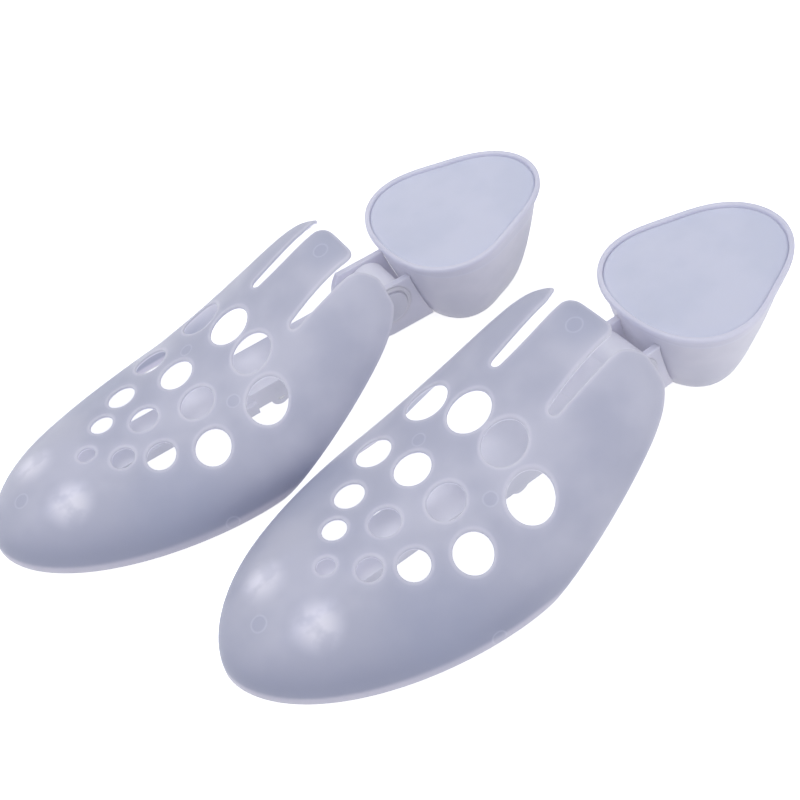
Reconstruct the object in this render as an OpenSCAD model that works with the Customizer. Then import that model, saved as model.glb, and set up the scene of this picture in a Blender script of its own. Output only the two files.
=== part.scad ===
// A pair of adjustable shoe stretchers in thin translucent plastic.
// Each one is a vented forepart shell on a notched rail, with a latched sliding arm
// and a hollow heel block hinged to the arm's end.
// X runs from the toes to the heels, Y to the left, and the pair stands on Z = 0.

/* [Forepart shell] */
// Length of the shell from the toe to the rear edge of the tongues
shell_len = 159; // [142:1:192]
// Greatest width of the shell
shell_w = 95; // [88:1:115]
// Distance from the toe to the widest place
wide_at = 86; // [80:1:105]
// Amount by which each side draws in from the widest place to the rear
rear_draw = 8; // [0:0.5:12]
// Height of the shell over the toe
toe_h = 21.5; // [21:0.5:30]
// Greatest height of the shell, near the end of the middle tongue
instep_h = 55; // [51:0.5:68]
// Amount by which the end of the middle tongue curls down
tongue_curl = 1.5; // [0:0.1:3]
// Roundness of the cross-section at the toe, where 2 is an ellipse
arch_power = 2.1; // [2:0.05:2.4]
// Roundness of the cross-section at the rear
arch_rear = 2.7; // [2:0.05:3]
// Roundness of the toe seen from above
toe_power = 1.85; // [1.8:0.05:2.6]
// Roundness of the toe seen from the side
tip_power = 2.2; // [2:0.05:2.6]
// Thickness of the shell
wall = 1.5; // [1.2:0.1:2]

/* [Vents and tongues] */
// Diameter of the first vent, nearest to the toe
vent_first_d = 7; // [5:0.5:9]
// Amount by which each following ring of vents is larger
vent_step_d = 2.5; // [1.5:0.1:2.7]
// Distance from the toe to the first vent
vent_first_x = 43.5; // [41:0.5:46]
// Width of the bridge between neighbouring vents of the rear ring
vent_bridge = 1.5; // [1:0.1:3]
// Width of a slit at its closed end
slit_w = 4.2; // [3:0.2:5]
// Distance from the toe to the closed ends of the slits
slit_x = 126.5; // [124:0.5:131]
// Distance from the centreline to the closed end of a slit
slit_y = 14.3; // [13.5:0.1:15]
// Half width of the middle tongue
tongue_half = 11; // [9:0.1:11.2]
// Height at which the wings reach furthest to the rear
wing_h = 48; // [45:0.5:49]
// Distance from the toe to where the side rims leave the ground
rim_lift_x = 91; // [83:1:103]

/* [Rail] */
// Width of the rail
rail_w = 18.5; // [15:0.5:19]
// Thickness of the rail
rail_t = 4; // [3.5:0.1:5]
// Height of the rail's flat top
rail_top = 16; // [15.5:0.25:17]
// Distance from the toe to the rear end of the rail
rail_end = 137; // [131:1:141]
// Distance between two notches
notch_pitch = 4; // [4:0.5:5]
// Depth of a notch
notch_depth = 1.8; // [1.2:0.1:2]
// Radius of the pin through the rail's nose
nose_pin_r = 2; // [1.5:0.1:2.5]

/* [Arm and latch] */
// Distance from the toe to the front end of the arm
arm_front = 95; // [93:1:99]
// Thickness of the arm's walls
arm_wall = 2; // [1.6:0.1:2.2]
// Thickness of the latch
latch_t = 2.5; // [2:0.1:2.8]
// Radius of the latch's pin
latch_pin_r = 1.2; // [1:0.1:1.4]
// Wire diameter of the latch's spring
spring_wire = 0.5; // [0.4:0.05:0.6]

/* [Heel hinge] */
// Distance from the rear edge of the shell to the hinge pin
hinge_gap = 8; // [6:0.5:12]
// Height of the hinge pin
hinge_z = 22; // [20:0.5:23]
// Radius of the hinge pin's shank
hinge_pin_r = 3.2; // [2.6:0.1:3.6]
// Radius of the hinge pin's flat heads
hinge_head_r = 6.5; // [5:0.1:7.5]
// Radius of the arm's eye
eye_r = 8.5; // [7.5:0.1:8.8]
// Radius of the heel block's two ears
ear_r = 14.5; // [13.5:0.5:15.5]
// Thickness of an ear
ear_t = 2.5; // [2:0.1:3]

/* [Heel block] */
// Distance from the hinge pin to the front of the block's rim
heel_gap = 5.5; // [4:0.5:12]
// Mean radius of the heel block's top outline
heel_r = 32.5; // [30:0.5:34]
// Height of the heel block
heel_h = 43; // [42:0.5:50]
// Angle by which the block's top rises to the rear
heel_tilt = 4; // [0:0.5:5]
// Size of the block's foot compared with its top
foot_scale = 0.5; // [0.4:0.01:0.6]
// Thickness of the heel block's wall
cup_wall = 1.6; // [1.4:0.1:2]
// Height of the rim round the top
rim_h = 2.6; // [2:0.1:3.2]
// Amount by which the rim stands out from the wall
rim_out = 0.9; // [0.6:0.1:1.2]
// Depth of the lid below the rim's edge
lid_recess = 1; // [0.6:0.1:1.4]

/* [Pair] */
// Sideways room between the two shells, added to their width
pair_room = 4.5; // [4:0.5:40]
// Amount by which the left stretcher stands further to the front
pair_shift = 39; // [0:1:60]
// Angle that the left stretcher is turned clockwise from above
pair_turn = 3; // [0:0.5:4]

/* [Hidden] */
$fn = 48;
fit = 0.3;
pin_play = 0.05;
STEPS_X = 30;
STEPS_ARCH = 28;
STEPS_CUP = 48;
nose_x = 28;
rail_mid = rail_top - rail_t / 2;
rail_bottom = rail_top - rail_t;
arm_half = rail_w / 2 + fit + arm_wall;
arm_top = rail_top + fit + arm_wall;
arm_bottom = rail_bottom - fit - arm_wall;
slide_in = 8;
arm_end = rail_end + slide_in + 2.5;
neck_half = 8;
hinge_x = shell_len + hinge_gap;
heel_x = hinge_x + heel_gap + heel_r;
pivot_x = arm_front + 20;
latch_z = arm_bottom - 3.5;
latch_top = arm_bottom - 2.3;
tooth_x = pivot_x + 14;
spring_x = pivot_x - 7.5;
heel_tip = heel_x + heel_r * 1.16 + rim_out;
pair_gap = shell_w + pair_room;
crest_x = shell_len - 6;
pair_mid_x = (heel_tip - pair_shift) / 2;
pair_mid_y = (pair_gap - shell_w / 2 + shell_w / 2 * cos(pair_turn) - 86 * sin(pair_turn)) / 2;

PIECES = ["toe_shell", "rail", "nose_pin", "arm", "latch", "latch_pin",
          "latch_spring", "hinge_pin", "heel_cup", "heel_lid"];

// Shape of the forepart shell

// Half width of the shell at distance x from the toe.
function half_width(x) =
    let (ahead = max(0, 1 - x / wide_at),
         behind = max(0, (x - wide_at) / (shell_len - wide_at)))
    shell_w / 2 * pow(max(0, 1 - pow(ahead, toe_power)), 1 / toe_power)
    - rear_draw * pow(behind, 2);

// Height of the shell's ridge at distance x from the toe.
function ridge(x) =
    let (ahead = max(0, 1 - x / 34),
         rise = min(1, max(0, (x - 38) / (crest_x - 38))),
         past = max(0, (x - crest_x) / (shell_len - crest_x)))
    toe_h * pow(max(0, 1 - pow(ahead, tip_power)), 1 / tip_power)
    + (instep_h - toe_h) * (1 - pow(1 - pow(rise, 2.4), 1.45))
    - tongue_curl * past * past;

// Roundness of the cross-section at distance x from the toe.
function arch(x) =
    arch_power + (arch_rear - arch_power) * min(1, max(0, (x - wide_at) / (crest_x - 6 - wide_at)));

// Height of the shell's outside at a place given by x and y.
function roof(x, y) =
    ridge(x) * pow(max(0, 1 - pow(abs(y) / half_width(x), arch(x))), 1 / arch(x));

// Point of the outside, where u runs from toe to rear and turn from 0 to 180 degrees.
function skin(u, turn) =
    let (x = shell_len * u * u * (1.6 - 0.6 * u),
         c = cos(turn), s = max(0, sin(turn)))
    [x,
     -half_width(x) * sign(c) * pow(abs(c), 2 / arch(x)),
     ridge(x) * pow(s, 2 / arch(x))];

// Unit vector square to the outside, pointing outwards.
function skin_out(u, turn) =
    let (along = skin(min(1, u + 0.01), turn) - skin(max(0, u - 0.01), turn),
         over = skin(u, min(180, turn + 1)) - skin(u, max(0, turn - 1)),
         out = cross(along, over))
    out / norm(out);

// Point of the inside; the two rims stay on the ground.
function lining(u, turn) =
    let (out = skin_out(u, turn),
         flat = turn < 0.5 || turn > 179.5,
         dir = flat ? [out[0], out[1], 0] / norm([out[0], out[1]]) : out)
    skin(u, turn) - wall * dir;

// Closed thin shell, open underneath and at the rear.
module blank_shell() {
    across = STEPS_ARCH + 1;
    count = STEPS_X * across;
    outside = [for (i = [1:STEPS_X]) for (j = [0:STEPS_ARCH])
        skin(i / STEPS_X, 180 * j / STEPS_ARCH)];
    inside = [for (i = [1:STEPS_X]) for (j = [0:STEPS_ARCH])
        lining(i / STEPS_X, 180 * j / STEPS_ARCH)];
    tip = 2 * count;
    points = concat(outside, inside, [[0, 0, 0], [wall, 0, 0]]);
    function at(i, j) = i * across + j;
    faces = concat(
        [for (j = [0:STEPS_ARCH - 1]) [tip, at(0, j + 1), at(0, j)]],
        [for (j = [0:STEPS_ARCH - 1]) [tip + 1, count + at(0, j), count + at(0, j + 1)]],
        [for (i = [0:STEPS_X - 2]) for (j = [0:STEPS_ARCH - 1]) each [
            [at(i, j), at(i, j + 1), at(i + 1, j)],
            [at(i, j + 1), at(i + 1, j + 1), at(i + 1, j)],
            [count + at(i, j), count + at(i + 1, j), count + at(i, j + 1)],
            [count + at(i, j + 1), count + at(i + 1, j), count + at(i + 1, j + 1)]]],
        [for (i = [0:STEPS_X - 2]) for (j = [0, STEPS_ARCH])
            let (a = at(i, j), b = at(i + 1, j))
            j == 0 ? [a, b, count + b, count + a] : [a, count + a, count + b, b]],
        [for (j = [0:STEPS_ARCH - 1])
            let (a = at(STEPS_X - 1, j), b = at(STEPS_X - 1, j + 1))
            [a, b, count + b, count + a]],
        [[tip, at(0, 0), count + at(0, 0), tip + 1],
         [tip, tip + 1, count + at(0, STEPS_ARCH), at(0, STEPS_ARCH)]]);
    polyhedron(points, faces);
}

// Point of a cubic curve.
function bezier(p, t) =
    pow(1 - t, 3) * p[0] + 3 * pow(1 - t, 2) * t * p[1]
    + 3 * (1 - t) * t * t * p[2] + t * t * t * p[3];

// Waste below and behind the two wings, in side view, clear of the middle tongue.
module rim_sweep() {
    rear = shell_len + 0.5;
    sweep = [[rim_lift_x, -1.5], [rim_lift_x + 26, 10], [rear - 3.5, wing_h - 9], [rear, wing_h]];
    crown = [[rear, wing_h], [rear, wing_h + 3], [rear - 2.5, wing_h + 6], [rear - 8, wing_h + 9]];
    far = shell_len + 30;
    for (side = [0, 1])
        mirror([0, side, 0])
            translate([0, shell_w, 0])
                rotate([90, 0, 0])
                    linear_extrude(shell_w - tongue_half - 2.5)
                        polygon(concat(
                            [for (i = [0:16]) bezier(sweep, i / 16)],
                            [for (i = [1:8]) bezier(crown, i / 8)],
                            [[far, wing_h + 9], [far, -4], [rim_lift_x, -4]]));
}

// Slit between the middle tongue and one wing, in plan.
module slit_outline() {
    far = shell_len + 12;
    wing_y = slit_y + slit_w / 2;
    flare_x = shell_len - 10;
    inner = [for (i = [0:8])
        let (x = slit_x + (far - slit_x) * i / 8)
        [x, tongue_half + (slit_y - slit_w / 2 - tongue_half) * pow(max(0, 1 - i / 3), 2)]];
    outer = [for (i = [24:-1:0])
        let (x = slit_x + (far - slit_x) * i / 24)
        [x, wing_y + 6 * pow(max(0, x - flare_x) / 10, 2)]];
    union() {
        polygon(concat(inner, outer));
        translate([slit_x, slit_y]) circle(r = slit_w / 2, $fn = 32);
    }
}

// Waste round the two corners of the middle tongue's tip, in plan.
module tongue_corners() {
    tip = shell_len - 2;
    corner = 5;
    difference() {
        translate([tip - corner, -tongue_half - 2]) square([corner + 14, 2 * tongue_half + 4]);
        translate([tip - corner - 1, -tongue_half + corner]) square([corner + 1, 2 * (tongue_half - corner)]);
        for (s = [-1, 1])
            translate([tip - corner, s * (tongue_half - corner)]) circle(r = corner, $fn = 32);
    }
}

// Places and diameters of all vents: one, two, three, four and four.
function vents() =
    let (x = vent_first_x, d = vent_first_d, step = vent_step_d,
         g = d + 3.8 * step + vent_bridge)
    concat(
        [[x, 0, d]],
        [for (s = [-1, 1]) [x + 10, s * 10, d + step]],
        [for (s = [-1, 0, 1]) [x + 23.5 - 2 * abs(s), s * g, d + 2 * step]],
        [for (s = [-1.5, -0.5, 0.5, 1.5])
            [x + 44 - 4 * abs(s), s * g, d + 3 * step]],
        [for (s = [-1.5, -0.5, 0.5, 1.5])
            [x + 68 - 5 * abs(s), s * g, d + 3.8 * step]]);

// Web that hangs from the roof beside the rail's nose.
module nose_web(side) {
    y = side * (rail_w / 2 + fit + 1.5);
    top = [for (x = [39:-3:18]) [x, roof(x, y + side * 1.5) - wall / 2]];
    translate([0, y + 1.5, 0])
        rotate([90, 0, 0])
            linear_extrude(3)
                polygon(concat([[21, 8.5], [34, 8.5]], top));
}

module toe_shell() {
    color([0.80, 0.81, 0.87, 0.8])
        difference() {
            union() {
                blank_shell();
                for (side = [-1, 1]) nose_web(side);
            }
            rim_sweep();
            for (v = vents())
                translate([v[0], v[1], 3]) cylinder(h = instep_h, d = v[2]);
            for (side = [0, 1])
                mirror([0, side, 0])
                    translate([0, 0, 4]) linear_extrude(instep_h) slit_outline();
            translate([0, 0, instep_h / 2]) linear_extrude(instep_h) tongue_corners();
            translate([nose_x, 0, rail_mid]) rotate([90, 0, 0])
                cylinder(h = 2 * rail_w, r = nose_pin_r + pin_play, center = true);
        }
}

// Rail with notches underneath; the latch bears on a land between two notches.
module rail() {
    lands = floor((rail_end - 81) / notch_pitch);
    color([0.86, 0.87, 0.91])
        difference() {
            union() {
                translate([nose_x, -rail_w / 2, rail_bottom])
                    cube([rail_end - nose_x, rail_w, rail_t]);
                translate([nose_x, 0, rail_mid]) rotate([90, 0, 0])
                    cylinder(h = rail_w, r = rail_t / 2 + 2, center = true);
            }
            for (i = [0:lands - 1])
                translate([rail_end - 2.5 - notch_pitch * (i + 0.5), -4.5, rail_bottom - 1])
                    cube([notch_pitch / 2, 9, 1 + notch_depth]);
            translate([nose_x, 0, rail_mid]) rotate([90, 0, 0])
                cylinder(h = 2 * rail_w, r = nose_pin_r + pin_play, center = true);
        }
}

// Round pin that holds the rail's nose between the shell's two webs.
module nose_pin() {
    reach = rail_w / 2 + fit + 3 + fit;
    color([0.84, 0.85, 0.90])
        translate([nose_x, 0, rail_mid])
            rotate([90, 0, 0]) {
                cylinder(h = 2 * reach, r = nose_pin_r, center = true);
                for (side = [-1, 1])
                    translate([0, 0, side * (reach + 0.6)])
                        cylinder(h = 1.2, r = nose_pin_r + 1.3, center = true);
            }
}

// Sliding arm: a channel round the rail, a solid neck and the hinge eye.
module arm() {
    color([0.86, 0.87, 0.91])
        difference() {
            union() {
                translate([arm_front, -arm_half, arm_bottom])
                    cube([arm_end - arm_front, 2 * arm_half, arm_top - arm_bottom]);
                for (side = [-1, 1]) {
                    translate([arm_front + 2, side * (arm_half + 1) - 1, arm_bottom])
                        cube([7, 2, 5]);
                    translate([pivot_x - 4, side * 7 - 1, latch_z]) cube([8, 2, arm_bottom - latch_z]);
                    translate([pivot_x, side * 7, latch_z]) rotate([90, 0, 0])
                        cylinder(h = 2, r = 4, center = true);
                }
                translate([0, neck_half, 0]) rotate([90, 0, 0])
                    linear_extrude(2 * neck_half) neck_outline();
                translate([hinge_x, 0, hinge_z]) rotate([90, 0, 0])
                    cylinder(h = 2 * neck_half, r = eye_r, center = true);
            }
            translate([arm_front - 1, -rail_w / 2 - fit, rail_bottom - fit])
                cube([arm_end - arm_front - 1, rail_w + 2 * fit, rail_t + 2 * fit]);
            translate([arm_front - 1, -8.3, arm_bottom - 1])
                cube([10.5, 16.6, arm_wall + 2]);
            translate([tooth_x - 3, -4, arm_bottom - 1]) cube([8, 8, arm_wall + 2]);
            translate([pivot_x, 0, latch_z]) rotate([90, 0, 0])
                cylinder(h = 20, r = latch_pin_r + pin_play, center = true);
            translate([hinge_x, 0, hinge_z]) rotate([90, 0, 0])
                cylinder(h = 4 * neck_half, r = hinge_pin_r + pin_play, center = true);
        }
}

// Side view of the arm's neck, between the channel and the eye.
module neck_outline() {
    polygon([[arm_end - 1, arm_bottom], [hinge_x - 6, arm_bottom],
             [hinge_x, hinge_z - eye_r], [hinge_x, hinge_z + eye_r],
             [hinge_x - eye_r * 0.8, hinge_z + eye_r * 0.6], [arm_end - 1, arm_top]]);
}

// Latch: a rocker with a finger pad in front and a tooth behind.
module latch() {
    color([0.86, 0.87, 0.91])
        difference() {
            union() {
                translate([arm_front - 1, -7.8, latch_top - latch_t]) cube([9.5, 15.6, latch_t]);
                translate([arm_front - 1, -7.8, latch_top - latch_t - 2]) cube([3, 15.6, 2.5]);
                translate([arm_front + 8, -5.6, latch_top - latch_t])
                    cube([pivot_x - arm_front, 11.2, latch_t]);
                translate([pivot_x + 6, -3, latch_top - latch_t])
                    cube([tooth_x - pivot_x - 5, 6, latch_t]);
                translate([pivot_x, 0, latch_z]) rotate([90, 0, 0])
                    cylinder(h = 11.2, r = 2.7, center = true);
                translate([tooth_x - 0.8, -3, latch_top - 1])
                    cube([1.6, 6, rail_bottom - 0.1 - latch_top + 1]);
            }
            translate([pivot_x, 0, latch_z]) rotate([90, 0, 0])
                cylinder(h = 20, r = latch_pin_r + pin_play, center = true);
            translate([spring_x, 0, latch_top - 1.2]) cylinder(h = 5, r = 2.8);
        }
}

module latch_pin() {
    color([0.70, 0.71, 0.73])
        translate([pivot_x, 0, latch_z]) rotate([90, 0, 0])
            cylinder(h = 17, r = latch_pin_r, center = true);
}

// Small coil spring that keeps the latch's tooth against the rail.
module latch_spring() {
    seat = latch_top - 1.2;
    length = arm_bottom - seat;
    turns = 3.5;
    steps = 56;
    sides = 8;
    coil_r = 2.1;
    wire_r = spring_wire / 2;
    rise = length - 2 * wire_r - 0.1;
    points = [for (i = [0:steps]) for (k = [0:sides - 1])
        let (turn = 360 * turns * i / steps, w = 360 * k / sides,
             r = coil_r + wire_r * cos(w))
        [spring_x + r * cos(turn), r * sin(turn),
         seat + wire_r + 0.05 + rise * i / steps + wire_r * sin(w)]];
    faces = concat(
        [[for (k = [0:sides - 1]) k]],
        [[for (k = [sides - 1:-1:0]) steps * sides + k]],
        [for (i = [0:steps - 1]) for (k = [0:sides - 1])
            let (next = (k + 1) % sides, a = i * sides, b = a + sides)
            each [[a + k, b + k, a + next], [a + next, b + k, b + next]]]);
    color([0.70, 0.71, 0.73]) polyhedron(points, faces);
}

// Snap rivet through the ears and the eye, with a flat round head at each end.
module hinge_pin() {
    reach = neck_half + fit + ear_t + 0.05;
    color([0.84, 0.85, 0.90])
        translate([hinge_x, 0, hinge_z]) rotate([90, 0, 0]) {
            cylinder(h = 2 * reach, r = hinge_pin_r, center = true);
            for (side = [-1, 1])
                translate([0, 0, side * (reach + 0.6)])
                    cylinder(h = 1.2, r = hinge_head_r, center = true);
        }
}

// Shape of the heel block

// Size of the block's outline at height z, compared with the top.
function block_scale(z) =
    foot_scale + (1 - rim_out / heel_r - foot_scale) * sqrt(max(0, z / heel_h));

// Point of the block's outline at an angle, with a given scale and inset.
function block_point(turn, z, scale, inset) =
    let (r = heel_r * scale * (1 + 0.08 * cos(2 * turn) + 0.08 * cos(3 * turn)) - inset)
    [heel_x + 2 * (1 - z / heel_h) + r * cos(turn), r * sin(turn),
     z + z / heel_h * r * cos(turn) * tan(heel_tilt)];

function block_ring(z, scale, inset) =
    [for (i = [0:STEPS_CUP - 1]) block_point(360 * i / STEPS_CUP, z, scale, inset)];

// Solid through a stack of rings, closed by flat ends.
module ring_stack(rings) {
    n = STEPS_CUP;
    last = (len(rings) - 1) * n;
    points = [for (r = rings) each r];
    faces = concat(
        [[for (i = [0:n - 1]) i]],
        [[for (i = [n - 1:-1:0]) last + i]],
        [for (k = [0:len(rings) - 2]) for (i = [0:n - 1])
            let (a = k * n, b = a + n, next = (i + 1) % n)
            each [[a + i, b + i, a + next], [a + next, b + i, b + next]]]);
    polyhedron(points, faces);
}

// Hollow cup with a rim round its open top and a ledge for the lid.
module cup_body() {
    under_rim = heel_h - rim_h;
    ledge = heel_h - lid_recess - 1.6;
    heights = [for (f = [0, 0.015, 0.05, 0.12, 0.25, 0.45, 0.7]) f * under_rim];
    ring_stack(concat(
        [for (z = heights) block_ring(z, block_scale(z), z == 0 ? 1 : 0)],
        [block_ring(under_rim, block_scale(under_rim), 0),
         block_ring(under_rim + 0.3, 1, 0),
         block_ring(heel_h - 0.5, 1, 0),
         block_ring(heel_h, 1, 0.5),
         block_ring(heel_h, 1, 1.9),
         block_ring(ledge, 1, 1.9),
         block_ring(ledge - 0.01, block_scale(ledge), cup_wall + 1.2)],
        [for (f = [0.7, 0.45, 0.25, 0.12])
            block_ring(f * under_rim, block_scale(f * under_rim), cup_wall)],
        [block_ring(2, block_scale(1.2), cup_wall)]));
}

// Point in side view half way through the front wall, on the ring of height z.
function front_wall(z) =
    let (p = block_point(180, z, block_scale(z), cup_wall / 2))
    [p[0], p[2]];

// Side view of an ear, from its round front to the block's wall.
module ear_outline() {
    bottom = hinge_z - ear_r;
    top = hinge_z + ear_r;
    intersection() {
        union() {
            translate([hinge_x, hinge_z]) circle(r = ear_r);
            translate([hinge_x, bottom]) square([40, 2 * ear_r]);
        }
        polygon(concat(
            [[hinge_x - 30, bottom], [hinge_x - 30, top]],
            [for (i = [8:-1:0]) front_wall(bottom + (top + 3 - bottom) * i / 8)]));
    }
}

module heel_cup() {
    inner = neck_half + fit;
    bottom = hinge_z - ear_r;
    color([0.80, 0.81, 0.87, 0.8])
        difference() {
            union() {
                cup_body();
                for (y = [inner + ear_t, -inner])
                    translate([0, y, 0]) rotate([90, 0, 0])
                        linear_extrude(ear_t) ear_outline();
                translate([0, inner + 0.5, 0]) rotate([90, 0, 0])
                    linear_extrude(2 * inner + 1)
                        polygon([[hinge_x - 6, bottom], [front_wall(bottom)[0], bottom],
                                 [front_wall(arm_bottom - fit)[0], arm_bottom - fit],
                                 [hinge_x - 6, arm_bottom - fit]]);
            }
            translate([hinge_x, 0, hinge_z]) rotate([90, 0, 0])
                cylinder(h = 40, r = hinge_pin_r + pin_play, center = true);
        }
}

// Lid of the heel block, with a skirt that reaches down inside the wall.
module heel_lid() {
    top = heel_h - lid_recess;
    seat = top - 1.6;
    skirt = seat - 4;
    color([0.83, 0.84, 0.90, 0.8])
        ring_stack([
            block_ring(top, 1, 2.6), block_ring(top - 0.4, 1, 2.1), block_ring(seat, 1, 2.1),
            block_ring(seat, block_scale(seat), cup_wall + 1.6),
            block_ring(skirt, block_scale(skirt), cup_wall + 1.6),
            block_ring(skirt, block_scale(skirt), cup_wall + 2.8),
            block_ring(top - 1.4, block_scale(seat), cup_wall + 2.8)]);
}

module piece(name) {
    if (name == "toe_shell") toe_shell();
    if (name == "rail") rail();
    if (name == "nose_pin") nose_pin();
    if (name == "arm") arm();
    if (name == "latch") latch();
    if (name == "latch_pin") latch_pin();
    if (name == "latch_spring") latch_spring();
    if (name == "hinge_pin") hinge_pin();
    if (name == "heel_cup") heel_cup();
    if (name == "heel_lid") heel_lid();
}

module right_place() {
    translate([-pair_mid_x, -pair_mid_y, 0]) children();
}

module left_place() {
    translate([-pair_mid_x - pair_shift, -pair_mid_y + pair_gap, 0])
        rotate([0, 0, -pair_turn]) children();
}

for (name = PIECES) {
    right_place() piece(name);
    left_place() piece(name);
}
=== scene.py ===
"""Looks of a pair of adjustable shoe stretchers in thin frosted plastic.

Each stretcher has a vented forepart shell, a notched rail, a latched sliding arm and a
hollow heel block. Shapes are worked out in one stretcher's own frame, in millimetres,
with the toe at x = 0, and are written in metres in the pair's frame.
"""

import logging
import math
from dataclasses import dataclass, field
from enum import Enum
from typing import Iterable

import bmesh
import bpy
import numpy as np
from bmesh.types import BMEdge, BMesh, BMFace, BMVert
from bpy.types import ID, Material, Node, NodeSocket as Socket, Object
from mathutils import Matrix, Vector
from mathutils.geometry import delaunay_2d_cdt
from mathutils.kdtree import KDTree


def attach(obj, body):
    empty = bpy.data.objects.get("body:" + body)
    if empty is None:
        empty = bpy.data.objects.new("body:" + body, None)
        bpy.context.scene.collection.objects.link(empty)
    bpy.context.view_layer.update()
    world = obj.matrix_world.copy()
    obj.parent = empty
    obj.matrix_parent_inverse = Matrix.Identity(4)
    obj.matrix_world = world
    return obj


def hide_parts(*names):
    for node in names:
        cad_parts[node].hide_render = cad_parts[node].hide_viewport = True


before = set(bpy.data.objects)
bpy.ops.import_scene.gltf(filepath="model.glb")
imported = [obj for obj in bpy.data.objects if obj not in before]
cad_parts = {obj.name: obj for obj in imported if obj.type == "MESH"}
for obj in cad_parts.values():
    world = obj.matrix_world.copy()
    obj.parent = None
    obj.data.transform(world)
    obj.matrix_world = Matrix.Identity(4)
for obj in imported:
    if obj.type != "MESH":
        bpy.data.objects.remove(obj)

log = logging.getLogger("shoe_stretchers")

Colour = tuple[float, float, float]
Place = tuple[float, float, float]
Spot = tuple[float, float, float, float]

LOCAL = "local_mm"
EDGE = "edge_mm"
UNDERSIDE = "underside"
FAR_FROM_EDGE = 20.0
METRES = 0.001
WHITE = (1.0, 1.0, 1.0, 1.0)


class Side(Enum):
    """Which of the two stretchers a piece belongs to."""

    RIGHT = "right"
    LEFT = "left"


class Grain(Enum):
    """How finely the surface of a moulding is textured."""

    FROSTED = 0.9
    SATIN = 0.5


def tone(red: int, green: int, blue: int) -> Colour:
    """Turn a colour given as screen values from 0 to 255 into scene values."""
    return tuple((c / 255 / 12.92) if c < 11 else ((c / 255 + 0.055) / 1.055) ** 2.4
                 for c in (red, green, blue))


def add_object(name: str, data: ID) -> Object:
    """Put new data into the scene as an object.

    Args:
        name: The object's name.
        data: Its mesh, lamp or camera.

    Returns:
        The new object.
    """
    made = bpy.data.objects.new(name, data)
    bpy.context.scene.collection.objects.link(made)
    return made


def add_mesh(name: str, bm: BMesh, material: Material) -> Object:
    """Turn a bmesh, which is freed here, into an object with one material.

    Args:
        name: Name of the object and its mesh.
        bm: The mesh.
        material: Its finish.

    Returns:
        The new object.
    """
    mesh = bpy.data.meshes.new(name)
    bm.to_mesh(mesh)
    bm.free()
    mesh.materials.append(material)
    return add_object(name, mesh)


@dataclass(frozen=True)
class PairLayout:
    """Where the two stretchers stand."""

    middle_x: float = 102.3
    middle_y: float = 47.467
    shift: float = 39.0
    gap: float = 99.5
    turn: float = 3.0

    def place(self, side: Side) -> Matrix:
        """Give the matrix from a stretcher's own millimetres to the pair's metres.

        Args:
            side: The stretcher.

        Returns:
            The four by four matrix.
        """
        to_metres = Matrix.Scale(METRES, 4)
        if side is Side.RIGHT:
            return to_metres @ Matrix.Translation((-self.middle_x, -self.middle_y, 0))
        move = Matrix.Translation((-self.middle_x - self.shift, -self.middle_y + self.gap, 0))
        return to_metres @ move @ Matrix.Rotation(math.radians(-self.turn), 4, "Z")


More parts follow.
